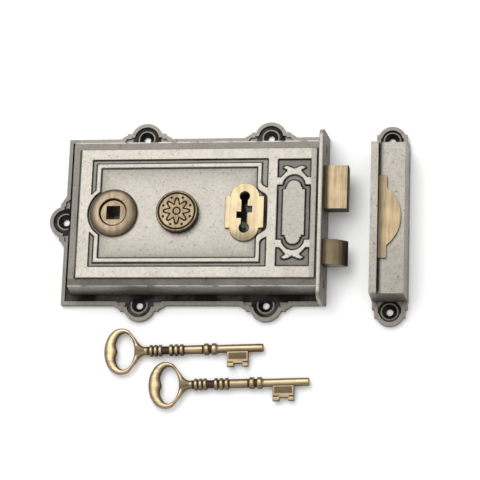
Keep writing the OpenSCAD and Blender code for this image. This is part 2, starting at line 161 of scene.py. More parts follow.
# %% Copy a solid with rounded edges
def softened(node, width, drop_above=None):
    """Copy of a solid with its edges rounded to a width. Faces with their middle above drop_above are left
    out."""
    work = bmesh.new()
    work.from_mesh(nodes[node].data)
    bmesh.ops.remove_doubles(work, verts=work.verts, dist=2e-6)
    bmesh.ops.dissolve_limit(work, angle_limit=math.radians(1.5), verts=work.verts, edges=work.edges)
    if drop_above is not None:
        high = [f for f in work.faces if f.calc_center_median().z > drop_above * MM]
        bmesh.ops.delete(work, geom=high, context="FACES")
    work.verts.index_update()
    mesh = bpy.data.meshes.new(node + "_soft")
    corners = [[v.index for v in f.verts] for f in work.faces]
    mesh.from_pydata([tuple(v.co) for v in work.verts], [], corners)
    work.free()
    mesh.shade_smooth()
    mesh.set_sharp_from_angle(angle=math.radians(25))
    piece = new_object(node + "_soft", mesh)
    bevel = piece.modifiers.new("soft edges", "BEVEL")
    bevel.width = width * MM
    bevel.segments = 2
    bevel.limit_method = "ANGLE"
    bevel.angle_limit = math.radians(28)
    bevel.harden_normals = True
    return piece


# %% [markdown]
# ## A short way to write finishes
# A finish is a graph of shader nodes. Each node could be added, set and linked on three lines of its own,
# but then the idea is lost among them. This small class does it in one call, and gives names to the few
# combinations that return everywhere: a soft step, a product, the highest of several shades, and noise.

# %% Node helpers
class Nodes:
    """Short way to write a node tree: add a node, set its sockets, link it."""

    def __init__(self, tree):
        self.tree = tree

    def add(self, kind, sockets=None, **settings):
        node = self.tree.nodes.new(kind)
        for key, value in settings.items():
            setattr(node, key, value)
        for key, value in (sockets or {}).items():
            self.put(node.inputs[key], value)
        return node

    def put(self, socket, value):
        if isinstance(value, bpy.types.NodeSocket):
            self.tree.links.new(value, socket)
        else:
            socket.default_value = value

    def math(self, operation, a, b=0.0, c=0.0, clamp=False):
        return self.add("ShaderNodeMath", {0: a, 1: b, 2: c}, operation=operation, use_clamp=clamp).outputs[0]

    def chain(self, operation, parts):
        total = parts[0]
        for part in parts[1:]:
            total = self.math(operation, total, part)
        return total

    def product(self, *parts):
        return self.chain("MULTIPLY", parts)

    def highest(self, *parts):
        return self.chain("MAXIMUM", parts)

    def ramp(self, value, start, end):
        """0 at start and 1 at end, with a smooth change between. The end may lie below the start."""
        node = self.add("ShaderNodeMapRange", {"Value": value, "From Min": start, "From Max": end},
                        interpolation_type="SMOOTHSTEP")
        return node.outputs[0]

    def mix(self, factor, a, b):
        node = self.add("ShaderNodeMix", data_type="RGBA")
        self.put(node.inputs[0], factor)
        self.put(node.inputs[6], a)
        self.put(node.inputs[7], b)
        return node.outputs[2]

    def noise(self, place, scale, detail=2.0, rough=0.5):
        sockets = {"Vector": place, "Scale": scale, "Detail": detail, "Roughness": rough}
        return self.add("ShaderNodeTexNoise", sockets).outputs[0]

    def bump(self, height, strength, distance):
        node = self.add("ShaderNodeBump", {"Height": height, "Strength": strength, "Distance": distance})
        return node.outputs["Normal"]

    def place(self):
        """Object coordinates. Every piece stands at the origin, so they are its place in metres."""
        return self.add("ShaderNodeTexCoord").outputs["Object"]

    def position(self):
        """The three object coordinates, one by one."""
        return self.add("ShaderNodeSeparateXYZ", {0: self.place()}).outputs


print("helper calls:", [name for name in vars(Nodes) if not name.startswith("_")])

# %% [markdown]
# ## Starting a finish or a shared effect
# A finish is a material around one Principled shader. An effect that several finishes use is a node group,
# built once, with named inputs and outputs. Both start with the same few lines, so they are written once.

# %% New finish, new effect
def new_finish(name, metallic):
    """New material. Returns it with its node helper and its Principled BSDF."""
    material = bpy.data.materials.new(name)
    material.use_nodes = True
    principled = material.node_tree.nodes["Principled BSDF"]
    principled.inputs["Metallic"].default_value = metallic
    return material, Nodes(material.node_tree), principled


def effect(name, inputs, outputs):
    """Empty shader group with named number inputs and outputs. Returns its helper, input and output nodes."""
    tree = bpy.data.node_groups.new(name, "ShaderNodeTree")
    for key, value in inputs.items():
        socket = tree.interface.new_socket(key, in_out="INPUT", socket_type="NodeSocketFloat")
        socket.default_value = value
    for key in outputs:
        tree.interface.new_socket(key, in_out="OUTPUT", socket_type="NodeSocketFloat")
    return Nodes(tree), tree.nodes.new("NodeGroupInput"), tree.nodes.new("NodeGroupOutput")


# %% [markdown]
# ## Effect: cast grain
# Sand leaves a grainy skin on iron, with small pits where a grain of sand stuck or gas escaped. A flat
# picture of skin could be wrapped on, but it would repeat and smear at edges, so the skin is computed:
# fine noise for the grain, a cell noise whose middles are the pits, thinned out by patches, and slow
# noise for the mottle of the patina.

# %% Cast grain
def make_cast_grain():
    """Height = grain - pits, where pits are the deep spots of a cell noise. Mottle is slow noise, 0 to 1."""
    n, given, out = effect("cast grain", {"Grain Size": 1.9, "Pit Size": 1.6}, ["Height", "Mottle", "Pits"])
    place = n.place()
    fine = n.noise(place, n.math("DIVIDE", 1000.0, given.outputs["Grain Size"]), 5.0, 0.68)
    cell_scale = n.math("DIVIDE", 1000.0, given.outputs["Pit Size"])
    cells = n.add("ShaderNodeTexVoronoi", {"Vector": place, "Scale": cell_scale, "Randomness": 1.0})
    patches = n.ramp(n.noise(place, 330.0, 2.0), 0.48, 0.64)
    pits = n.product(n.ramp(cells.outputs["Distance"], 0.30, 0.10), patches)
    n.put(out.inputs["Height"], n.math("SUBTRACT", fine, n.product(pits, 0.8)))
    n.put(out.inputs["Mottle"], n.ramp(n.noise(place, 75.0, 4.0, 0.6), 0.3, 0.7))
    n.put(out.inputs["Pits"], pits)
    return n.tree


cast_grain = make_cast_grain()
print("group:", cast_grain.name, len(cast_grain.nodes), "nodes")

# %% [markdown]
# ## Effect: brushing
# Brass and steel are finished with an abrasive belt, which leaves long fine scratches one way. That is
# noise squeezed across the scratches and stretched along them. The stretch is an input, so one group
# serves every direction.

# %% Brushing
def make_brushing():
    """Noise on coordinates multiplied by Across X, Y and Z. A small number stretches the scratches that way."""
    across = {"Across X": 1.0, "Across Y": 1.0, "Across Z": 1.0}
    n, given, out = effect("brushing", across, ["Height", "Streak"])
    scale = n.add("ShaderNodeCombineXYZ", {axis: given.outputs["Across " + axis] for axis in "XYZ"}).outputs[0]
    stretched = n.add("ShaderNodeVectorMath", {0: n.place(), 1: scale}, operation="MULTIPLY").outputs[0]
    n.put(out.inputs["Height"], n.noise(stretched, 2600.0, 2.0, 0.6))
    n.put(out.inputs["Streak"], n.ramp(n.noise(stretched, 700.0, 3.0, 0.65), 0.32, 0.68))
    return n.tree


def brushed(n, across):
    """The brushing group, with its three stretches."""
    stretches = {"Across " + axis: amount for axis, amount in zip("XYZ", across)}
    return n.add("ShaderNodeGroup", stretches, node_tree=brushing).outputs


brushing = make_brushing()
ALONG_X = (0.05, 1.0, 1.0)
ALONG_Y = (1.0, 0.05, 1.0)
NO_GRAIN = (1.0, 1.0, 1.0)
print("group:", brushing.name, len(brushing.nodes), "nodes")

# %% [markdown]
# ## Finish: pewter patina on cast iron
# The casting is plated, blackened and then rubbed back, so high places are pale and warm and hollows stay dark.
# One recipe serves the case, its face, the forend and the keep. It takes the dark, which is blackening and painted
# shade together, from two sources: a per-point attribute, where the piece was computed, and a function of place,
# where it is a softened copy.

# %% Pewter recipe
PALE_PEWTER = (0.430, 0.398, 0.350, 1)
MID_PEWTER = (0.240, 0.222, 0.194, 1)
WORN_BRIGHT = (0.900, 0.860, 0.790, 1)
# Black for the pits, and for the dark places, which are blackening and painted shade.
BLACKENING_AND_SHADE = (0.012, 0.011, 0.010, 1)


def pewter(name, pale=PALE_PEWTER, mid=MID_PEWTER, blackening_and_shade=None, wear=None, pit_size=1.6, bump=0.3):
    """Pale to mid by mottle and grain, blackened by the pits, darkened by the per-point attribute and the
    dark-place function, which hold blackening and painted shade, and rubbed bright by wear. The dark-place
    function and wear are functions of the node helper."""
    material, n, principled = new_finish(name, metallic=0.9)
    grain = n.add("ShaderNodeGroup", {"Pit Size": pit_size}, node_tree=cast_grain).outputs
    # The per-point attribute and the dark-place function hold blackening and painted shade.
    grime = n.add("ShaderNodeAttribute", attribute_name="grime").outputs["Fac"]
    if blackening_and_shade is not None:
        grime = n.highest(grime, blackening_and_shade(n))
    dark = n.math("MULTIPLY", grime, n.math("MULTIPLY_ADD", grain["Mottle"], 0.25, 0.85), clamp=True)
    tone = n.math("MULTIPLY_ADD", n.ramp(grain["Height"], 0.25, 0.75), 0.75, n.product(grain["Mottle"], 0.25))
    skin = n.mix(tone, mid, pale)
    if wear is not None:
        skin = n.mix(wear(n), skin, WORN_BRIGHT)
    pitted = n.mix(n.product(grain["Pits"], 0.55), skin, BLACKENING_AND_SHADE)
    n.put(principled.inputs["Base Color"], n.mix(dark, pitted, BLACKENING_AND_SHADE))
    rough = n.math("MULTIPLY_ADD", grain["Height"], 0.22, 0.36)
    n.put(principled.inputs["Roughness"], n.math("MULTIPLY_ADD", dark, 0.2, rough, clamp=True))
    n.put(principled.inputs["Normal"], n.bump(grain["Height"], bump, 0.0003))
    return material


print("pewter runs from", MID_PEWTER[:3], "to", PALE_PEWTER[:3])

# %% [markdown]
# ## Where the case stays dark, and where shade is painted
# Rubbing back never reaches the floor of a screw ear, the foot of the wall or the step beside the face, and these
# places also lie in shade, so their dark is blackening and painted shade together.
# These places could be painted by hand, but their edges follow the casting exactly, so each is a soft
# step of a distance: from a screw hole, from the wall, or in height. Places in these functions are in
# metres, as shader coordinates are.

# %% Hollows and painted shade of the case
EAR_X, EAR_Y, END_EAR_X = 0.0375, 0.0510, -0.0845
WALL_X, WALL_Y = -0.0784, 0.0449
RIM_X, RIM_Y = -0.0828, 0.0492
SOFT = 0.0002
FLANGE_FLOOR = (0.0039, 0.0034)
ON_LEDGE = (0.0196, 0.0201)


def gap_to(n, x, y, x0, y0):
    """Distance in plan from a point to a middle."""
    gap = n.add("ShaderNodeCombineXYZ", {0: n.math("SUBTRACT", x, x0), 1: n.math("SUBTRACT", y, y0)}).outputs[0]
    return n.add("ShaderNodeVectorMath", {0: gap}, operation="LENGTH").outputs["Value"]


def ear_shade(n, gap, height, reach):
    """Black on the low floor round a screw hole, as far as reach, but for the rim of its countersink: blackening
    and painted shade.
    """
    near = n.ramp(gap, reach + 0.0006, reach)
    countersink = n.product(n.ramp(gap, 0.0042, 0.0045), n.ramp(gap, 0.0055, 0.0051))
    return n.product(n.ramp(height, *FLANGE_FLOOR), near, n.math("MULTIPLY_ADD", countersink, -0.5, 0.95))


def case_blackening_and_shade(n):
    """Dark inside the ears, on the flange, in the corners round the box, and a little on ledge and walls:
    blackening and painted shade together. The bottom and left strips of flange and rim, the ledge's bottom run,
    the step beside the face and the walls towards their foot are darker still, as painted shade."""
    x, y, z = n.position()
    up = n.math("ABSOLUTE", y)
    # Painted shade: the bottom and left strips of flange and rim are made darker.
    shaded_side = n.highest(n.ramp(y, -0.040, -0.044), n.ramp(x, -0.078, -0.080))
    side_ears = gap_to(n, n.math("ABSOLUTE", x), up, EAR_X, EAR_Y)
    ears = n.math("MINIMUM", side_ears, gap_to(n, x, y, END_EAR_X, 0.0))
    inside_rim = n.product(n.ramp(up, RIM_Y + SOFT, RIM_Y - SOFT), n.ramp(x, RIM_X - SOFT, RIM_X + SOFT))
    strip = n.product(n.ramp(z, *FLANGE_FLOOR), inside_rim, n.math("MULTIPLY_ADD", shaded_side, 0.55, 0.42))
    outside_wall = n.highest(n.math("SUBTRACT", up, WALL_Y), n.math("SUBTRACT", WALL_X, x))
    # Blackening and painted shade in the crevice at the wall's foot.
    corner = n.product(n.ramp(outside_wall, 0.0016, -0.0006), n.ramp(z, 0.0085, 0.0022), 0.8)
    rim = n.product(n.ramp(z, 0.0060, 0.0044), n.math("MULTIPLY_ADD", shaded_side, 0.14, 0.32))
    on_ledge = n.ramp(z, *ON_LEDGE)
    # The ledge is a darker tone; its bottom run is darker still as painted shade.
    ledge = n.product(on_ledge, n.math("MULTIPLY_ADD", n.ramp(y, -0.0390, -0.0395), 0.20, 0.47))
    # Painted shade in the step beside the face's left edge.
    beside_face = n.product(on_ledge, n.ramp(x, -0.0743, -0.0735), n.ramp(up, 0.0400, 0.0390), 0.85)
    # Painted shade: the walls darken towards their foot.
    wall = n.product(n.ramp(z, 0.020, 0.004), 0.35)
    return n.highest(ear_shade(n, ears, z, 0.0084), corner, strip, rim, ledge, beside_face, wall)


print("ears stand", 2 * EAR_X / MM, "by", 2 * EAR_Y / MM, "mm apart")

# %% [markdown]
# ## Wear, and the dark and the painted shade of the other castings
# The ledge's outer edge is rubbed bright, in a line that noise breaks up. The keep is dark in its ears and in the
# groove behind its lip, and the dark fades out over its face: blackening and painted shade in the ears and groove,
# and the lip's painted shadow on the face. Its lower end is darker as painted shade. The forend darkens towards
# its outer face, as painted shade.

# %% Wear, hollows and painted shade of the other castings
KEEP_Y, KEEP_EAR_X, KEEP_EAR_Y = -0.0032, 0.1096, 0.0516


def ledge_wear(n):
    """Bright broken line along the ledge's outer edge."""
    y, z = n.position()[1:3]
    broken = n.ramp(n.noise(n.place(), 160.0), 0.35, 0.5)
    return n.product(n.ramp(n.math("ABSOLUTE", y), 0.0430, 0.0434), n.ramp(z, 0.0192, 0.0200), broken)


def keep_blackening_and_shade(n):
    """Dark in both ears and in the groove behind the lip, from where the dark fades out over the face: blackening
    with painted shade, and the lip's painted shadow on the face. The lower end is darker as painted shade.
    """
    x, y, z = n.position()
    up = n.math("ABSOLUTE", n.math("SUBTRACT", y, KEEP_Y))
    ears = ear_shade(n, gap_to(n, x, up, KEEP_EAR_X, KEEP_EAR_Y), z, 0.0066)
    # Painted shadow of the lip, fading out over the face from the groove.
    fade = n.math("POWER", n.ramp(x, 0.1085, 0.1034), 2.0)
    groove = n.product(fade, n.ramp(x, 0.1030, 0.1034), n.ramp(z, 0.0190, 0.0195), 0.9)
    ends = n.product(n.ramp(up, 0.0448, 0.0452), 0.3)
    # Painted shade: darker towards the lower end.
    shaded_low_end = n.product(n.ramp(y, 0.0, -0.045), 0.14)
    return n.highest(groove, ears, ends, shaded_low_end)


def towards(axis, start, end, amount):
    """Function for a shade that grows from 0 at start to amount at end along one axis."""
    return lambda n: n.product(n.ramp(n.position()["XYZ".index(axis)], start, end), amount)


case_finish = pewter("pewter case", blackening_and_shade=case_blackening_and_shade, wear=ledge_wear)
face_finish = pewter("pewter face")
# Painted shade: the forend darkens towards its outer face, away from the lamp.
forend_finish = pewter("pewter forend", blackening_and_shade=towards("X", 0.0698, 0.0713, 0.5))
keep_finish = pewter("pewter keep", pale=(0.375, 0.348, 0.300, 1), mid=(0.200, 0.186, 0.160, 1),
                     blackening_and_shade=keep_blackening_and_shade, pit_size=2.0, bump=0.5)
print("finishes:", [m.name for m in (case_finish, face_finish, forend_finish, keep_finish)])

# %% [markdown]
# ## Finish: antique brass
# The brass is lacquered brown and brushed back along one direction, so pale scratches run through a brown
# tone. The same recipe serves the rose, the badge, the escutcheon, the bolts, the strike and the keys:
# only the direction of the brushing and the amount of brown change.

# %% Build the brass finish
PALE_BRASS = (0.300, 0.230, 0.135, 1)
BROWN_BRASS = (0.110, 0.082, 0.053, 1)
DARK_BROWN = (0.010, 0.008, 0.006, 1)
DEAD_BOLT_Y = 0.0164


def brass(name, across, brown=0.4, pale=PALE_BRASS, blackening_and_shade=None, rough=0.30):
    """Brown to pale by streaks. brown is the share of brown. The per-point attribute and the dark-place function
    darken it with dirt and painted shade.
    """
    material, n, principled = new_finish(name, metallic=0.95)
    brush = brushed(n, across)
    cloud = n.ramp(n.noise(n.place(), 90.0, 3.0), 0.3, 0.7)
    tone = n.math("ADD", n.product(brush["Streak"], 0.45), n.product(cloud, 0.35))
    aged = n.mix(n.math("MULTIPLY_ADD", tone, 0.9, 0.62 - brown, clamp=True), BROWN_BRASS, pale)
    # Dirt and painted shade, mixed towards dark brown.
    grime = n.add("ShaderNodeAttribute", attribute_name="grime").outputs["Fac"]
    if blackening_and_shade is not None:
        grime = n.highest(grime, blackening_and_shade(n))
    n.put(principled.inputs["Base Color"], n.mix(n.math("MULTIPLY", grime, 0.94, clamp=True), aged, DARK_BROWN))
    uneven = n.math("MULTIPLY_ADD", brush["Height"], 0.2, rough - 0.08)
    n.put(principled.inputs["Roughness"], n.math("MULTIPLY_ADD", grime, 0.25, uneven, clamp=True))
    n.put(principled.inputs["Normal"], n.bump(brush["Height"], 0.12, 0.0001))
    return material


def beside_forend(n):
    """Dark band on a bolt just outside the forend, painted shadow of the forend with dirt; a darker end and dark
    sides below its top, both painted shade.
    """
    x, y, z = n.position()
    # Painted shadow of the forend on the bolt's top, with dirt, then painted shade on the bolt's end and sides.
    band = n.product(n.ramp(x, 0.0752, 0.0728), 0.75)
    end = n.product(n.ramp(x, 0.0851, 0.0855), 0.8)
    off_middle = n.math("ABSOLUTE", n.math("SUBTRACT", y, DEAD_BOLT_Y))
    sides = n.product(n.ramp(z, 0.0168, 0.0162), n.ramp(off_middle, 0.0128, 0.0130), n.ramp(y, 0.0, 0.002))
    return n.highest(band, end, n.product(sides, 0.85))


bolt_brass = brass("brass bolts", ALONG_Y, brown=0.48, blackening_and_shade=beside_forend)
# Painted shade: the rose darkens towards its right side.
rose_brass = brass("brass rose", ALONG_Y, brown=0.62, pale=(0.270, 0.208, 0.143, 1),
                   blackening_and_shade=towards("X", -0.056, -0.036, 0.35))
badge_brass = brass("brass badge", ALONG_Y, brown=0.80)
# Painted shade: the escutcheon darkens towards its bottom.
plate_brass = brass("brass plates", ALONG_Y, brown=0.14, pale=(0.315, 0.253, 0.156, 1), rough=0.32,
                    blackening_and_shade=towards("Y", -0.008, -0.017, 0.5))
# Painted shade: the strike darkens towards its left side.
strike_brass = brass("brass strike", ALONG_Y, brown=0.40, pale=(0.300, 0.230, 0.138, 1),
                     blackening_and_shade=towards("X", 0.1085, 0.1040, 0.65))
key_brass = brass("brass keys", ALONG_X, brown=0.26, pale=(0.50, 0.378, 0.225, 1))
print("brass finishes:", [m.name for m in bpy.data.materials if m.name.startswith("brass")])

# %% [markdown]
# ## Finish: steel, blued springs and sheet brass
# The works are machined or stamped and stay oily, so they are plain metals with tool marks and a dull
# sheen. They are hardly seen, so a single recipe with a colour and a brushing direction is enough for all
# three.

# %% Steel recipe
def steel(name, colour, across, rough):
    """Machined metal: one colour, lighter and darker by streaks, with fine tool marks."""
    material, n, principled = new_finish(name, metallic=1.0)
    brush = brushed(n, across)
    dark = tuple(0.55 * part for part in colour[:3]) + (1,)
    n.put(principled.inputs["Base Color"], n.mix(brush["Streak"], dark, colour))
    n.put(principled.inputs["Roughness"], n.math("MULTIPLY_ADD", brush["Height"], 0.25, rough))
    n.put(principled.inputs["Normal"], n.bump(brush["Height"], 0.15, 0.0001))
    return material


# The plain steel is kept very dark as painted shade, so the works seen through the keyhole look as dark as the
# inside of a closed case.
plain_steel = steel("plain steel", (0.10, 0.10, 0.10, 1), ALONG_X, 0.30)
spring_blue = steel("blued spring steel", (0.13, 0.15, 0.21, 1), NO_GRAIN, 0.22)
lever_brass = steel("sheet brass", (0.34, 0.26, 0.13, 1), ALONG_X, 0.30)
print("finishes:", plain_steel.name, spring_blue.name, lever_brass.name)

# %% [markdown]
# ## The face of the case
# The ornament is shallow: a channel, a ridge and a sunken panel on the left, a tablet and crossed ribbons on the
# right. A height field suits it. Each outline is written as a signed distance, negative inside, so that outlines
# join with a minimum and cut with a maximum. The depth then follows the distance, which rounds every edge, and the
# same distance says where the blackening and the painted shade along the pocket edges go.

# %% Distances to outlines
def box_distance(x, y, x0, x1, y0, y1):
    """Distance to a rectangle: how far outside it along X and Y, or how deep inside."""
    dx = np.maximum(x0 - x, x - x1)
    dy = np.maximum(y0 - y, y - y1)
    return np.hypot(np.maximum(dx, 0), np.maximum(dy, 0)) + np.minimum(np.maximum(dx, dy), 0)


def circle_distance(x, y, x0, y0, r):
    """Distance to the middle, less the radius."""
    return np.hypot(x - x0, y - y0) - r


def polygon_distance(x, y, corners):
    """Distance to the nearest side; the sign comes from how many sides lie to the right of the point."""
    nearest = np.full(x.shape, 1e9)
    inside = np.zeros(x.shape, bool)
    for (ax, ay), (bx, by) in zip(corners, corners[1:] + corners[:1]):
        along = np.clip(((x - ax) * (bx - ax) + (y - ay) * (by - ay)) / ((bx - ax) ** 2 + (by - ay) ** 2), 0, 1)
        nearest = np.minimum(nearest, np.hypot(x - ax - along * (bx - ax), y - ay - along * (by - ay)))
        crosses = (ay > y) != (by > y)
        inside ^= crosses & (x < ax + (y - ay) * (bx - ax) / (by - ay if by != ay else 1))
    return np.where(inside, -nearest, nearest)


def ogee_distance(x, y, near, far, half, soft):
    """Distance to an upright edge that swings from near out to far where |y| is under half, in an S as long as
    soft says."""
    swing = 1 / (1 + np.exp((np.abs(y) - half) / soft))
    slope = (far - near) * swing * (1 - swing) / soft
    return (x - near - (far - near) * swing) / np.sqrt(1 + slope ** 2)


def smooth(value):
    """0 below 0 and 1 above 1, with a smooth change between."""
    value = np.clip(value, 0, 1)
    return value * value * (3 - 2 * value)


print("middle of a 4 by 2 plate lies", -box_distance(0.0, 0.0, -2, 2, -1, 1), "deep")

# %% [markdown]
# ## The outlines of the ornament
# Four pockets make the ornament: a middle panel that bulges round the rose and the escutcheon, a channel
# that leaves a raised moulding between the two, a border that leaves a stepped tablet standing, and a
# pair of square pockets that leave crossed ribbon ends. They are mirrored by using the distance from the
# middle instead of the place.

# %% The outlines of the ornament
TABLET_X = 54.5


def sunken_panel(x, y):
    """Rectangle whose right edge swings out round the escutcheon, joined to a circle round the rose."""
    sheet = np.maximum(box_distance(x, y, -59.9, 60, -27, 27.4),
                       ogee_distance(x, y, 32.8, 39.0, 12.0, 0.9))
    return np.minimum(sheet, circle_distance(x, y, rose_x, 0, 15.4))


def channel(x, y):
    """Rectangle with the moulding cut out of it. What is left runs round the moulding, up to rose and panel."""
    moulding = np.maximum(box_distance(x, y, -62.8, 60, -29.8, 30.1),
                          ogee_distance(x, y, 35.4, 40.4, 15.6, 0.7))
    moulding = np.minimum(moulding, circle_distance(x, y, rose_x, 0, 18.0))
    return np.maximum(box_distance(x, y, -65.4, 39.0, -32.1, 32.4), -moulding)


def tablet_border(x, y):
    """An arch-ended rectangle with the stepped tablet left standing in it."""
    dx, up = x - TABLET_X, np.abs(y)
    outer = np.minimum(box_distance(dx, up, -9.6, 9.6, -1, 16.3), circle_distance(dx, up, 0, 16.0, 6.5))
    tablet = np.minimum(box_distance(dx, up, -6.6, 6.6, -1, 13.9), box_distance(dx, up, -4.9, 4.9, -1, 15.4))
    tablet = np.minimum(tablet, circle_distance(dx, up, 0, 14.9, 4.5))
    return np.maximum(outer, -tablet)


def ribbon_pocket(x, y):
    """Square pocket with a pair of ribbon ends left standing, the same on all four sides of the middle."""
    half = [(-3, 32), (9.5, 32), (9.7, 31.8), (9.7, 21.2), (7.8, 21.2), (4.2, 25.2), (6.7, 26.8), (6.4, 27.6),
            (4.5, 28.1), (2.6, 27.7), (1.2, 26.9), (-3, 25.5)]
    return polygon_distance(np.abs(x - TABLET_X), np.abs(y), half)


def keyhole_opening(x, y):
    """Two round holes with a slot between them, a little wider than those in the escutcheon."""
    slots = np.minimum(box_distance(x, y, keyhole_x - 3, keyhole_x + 3, -9.5, 9.5),
                       box_distance(x, y, keyhole_x - 5, keyhole_x + 5, -4, 4))
    return np.minimum(slots, circle_distance(x, np.abs(y), keyhole_x, 9.5, 3.4))


print("outlines:", [f.__name__ for f in (sunken_panel, channel, tablet_border, ribbon_pocket, keyhole_opening)])

# %% [markdown]
# ## Pressing the ornament into the face
# The face is one sheet over an even grid. Cutting real pockets with booleans would leave sharp walls and
# broken shading. Here the height simply falls where a distance says inside, over 0.4 mm, as a casting's
# draft does. Four values belong to each pocket: its distance, how dark its floor is, and how far and how
# strongly its edge is shaded.

# %% Build the face
def bunched(low, high, step):
    """Even grid lines with extra lines at both ends, so that the rounded rim of the field is well cut."""
    inner = np.linspace(low + 0.7, high - 0.7, int((high - low) / step))
    return np.concatenate([[low, low, low + 0.08, low + 0.25, low + 0.45], inner,
                           [high - 0.45, high - 0.25, high - 0.08, high, high]])


FACE_LEFT, FACE_HALF, HUB_HOLE = -72.5, 39.0, 8.4


def build_face():
    """z = face - relief * smooth(depth inside a pocket / width of its wall), rolled off at the outer rim."""
    x0, x1, half = FACE_LEFT, forend_in - 1.0, FACE_HALF
    x, y = np.meshgrid(bunched(x0, x1, 0.41), bunched(-half, half, 0.41), indexing="ij")
    # Painted shadow: the panel floor beside the escutcheon, where the recess is deeper, is made darker.
    shadow_beside_plate = 0.75 * smooth((x - 34.5) / 2)
    pockets = [(sunken_panel(x, y), 0.04 + shadow_beside_plate, 6.0, 0.34), (channel(x, y), 0.42, 0.7, 0.1),
               (tablet_border(x, y), 0.55, 0.7, 0.1), (ribbon_pocket(x, y), 0.58, 0.7, 0.1)]
    z = np.full(x.shape, float(face_z))
    grime = np.zeros(x.shape)
    for distance, ground, fade, shade in pockets:
        inside = smooth(0.5 - distance / 0.4)
        z -= relief * inside
        # Each pocket's wall and a band inside its edge are darkened: blackening left in the corners, and painted
        # shade.
        wall = np.exp(-(distance / 0.42) ** 2)
        edge = wall + np.exp(-np.maximum(-distance, 0) / fade) * shade
        grime = np.maximum(grime, np.clip(inside * ground + edge * (distance < 0.25), 0, 1))
    rim = np.minimum(np.minimum(x - x0, x1 - x), half - np.abs(y))
    z -= 0.45 * (1 - np.sqrt(1 - (1 - np.clip(rim / 0.5, 0, 1)) ** 2))
    z[[0, -1], :] = ledge_z - 0.1
    z[:, [0, -1]] = ledge_z - 0.1
    # Painted shade on the face's outer sides, in the step down to the ledge.
    grime[[0, 1, -2, -1], :] = 0.7
    grime[:, [0, 1, -2, -1]] = 0.7
    on_tablet = (np.abs(x - TABLET_X) < 6.6) & (np.abs(y) < 19)
    beside_forend = smooth(x - 63.8)
    grime = np.maximum(grime, np.maximum(0.16 * on_tablet, 0.24 * beside_forend))
    cell_x, cell_y = (x[1:, 1:] + x[:-1, :-1]) / 2, (y[1:, 1:] + y[:-1, :-1]) / 2
    solid = (keyhole_opening(cell_x, cell_y) > 0) & (circle_distance(cell_x, cell_y, rose_x, 0, HUB_HOLE) > 0)
    return surface("case_face", np.stack([x, y, z], axis=-1), keep=solid, sharp=60, grime=grime)


case_face = place(build_face(), "lock", "cast_pewter", face_finish)

# %% [markdown]
# ## The case, the forend and the keep
# The box, flange, ears and walls are the exact solid with rounded edges. Its old face is left out above
# the ledge, where the height field sits. The forend and the keep are softened copies too; the keep's
# wider bevel gives the rolled edges of a rougher casting.

# %% Soften the castings
case_shell = softened("case_casting", 0.35, drop_above=ledge_z + 0.05)
place(case_shell, "lock", "cast_pewter", case_finish, "case_casting")
forend = place(softened("forend", 0.55), "lock", "cast_pewter", forend_finish, "forend")
keep = place(softened("keep_casting", 0.5), "keep", "cast_pewter", keep_finish, "keep_casting")

# %% [markdown]
# ## Turned brass: the rose and the follower's hub
# The rose is a low domed ring, turned on a lathe, so its profile is carried round its axis. The hub is sunk a
# little inside it and has a square hole, so it isn't a turned shape: its exact solid is softened instead. Dirt
# gathers in the narrow gap between them, and the bore is also darkened as painted shade.

# %% Turn the rose
def lathe(name, profile, x0, y0, steps=128, **values):
    """Profile points (r, z) carried round an upright axis: x = x0 + r cos a, y = y0 + r sin a."""
    angle = np.arange(steps) * 2 * math.pi / steps
    r, z = np.array(profile).T
    points = np.stack([x0 + np.outer(r, np.cos(angle)), y0 + np.outer(r, np.sin(angle)),
                       np.outer(z, np.ones(steps))], axis=-1)
    return surface(name, points, wrap_v=True, **values)


def rose_profile(bore=7.75, rim=14.3, rise=2.5):
    """Up the bore, over a dome that is flat near the bore and falls fast near the rim, and down the rim."""
    foot, top = face_z - relief, face_z + rise
    turn = np.linspace(0, math.pi / 2, 24)
    dome = np.stack([bore + 0.3 + (rim - bore - 0.3) * np.sin(turn) ** 0.8,
                     foot + 1.3 + (top - foot - 1.3) * np.cos(turn) ** 0.8], -1)
    return np.concatenate([[[bore, foot], [bore, top - 0.3], [bore + 0.1, top - 0.08]], dome, [[rim, foot]]])


profile = rose_profile()
# Dark round the bore: dirt in the gap and painted shade on the bore's wall.
bore_grime = np.outer(smooth((8.6 - profile[:, 0]) / 0.5), np.ones(128))
rose = lathe("rose_dome", profile, rose_x, 0, grime=bore_grime)
place(rose, "lock", "antique_brass", rose_brass, "rose")
follower = place(softened("follower", 0.25), "follower", "antique_brass", rose_brass, "follower")


# %% [markdown]
# ## The badge
# A flat boss with a rolled edge, a cut ring and a small eight-petalled rosette. Engraving could be a bump
# in the finish, but lines this wide catch the light on their walls. One grid of radius and angle does
# both the edge and the engraving, and the depth of the cut is also its blackening.

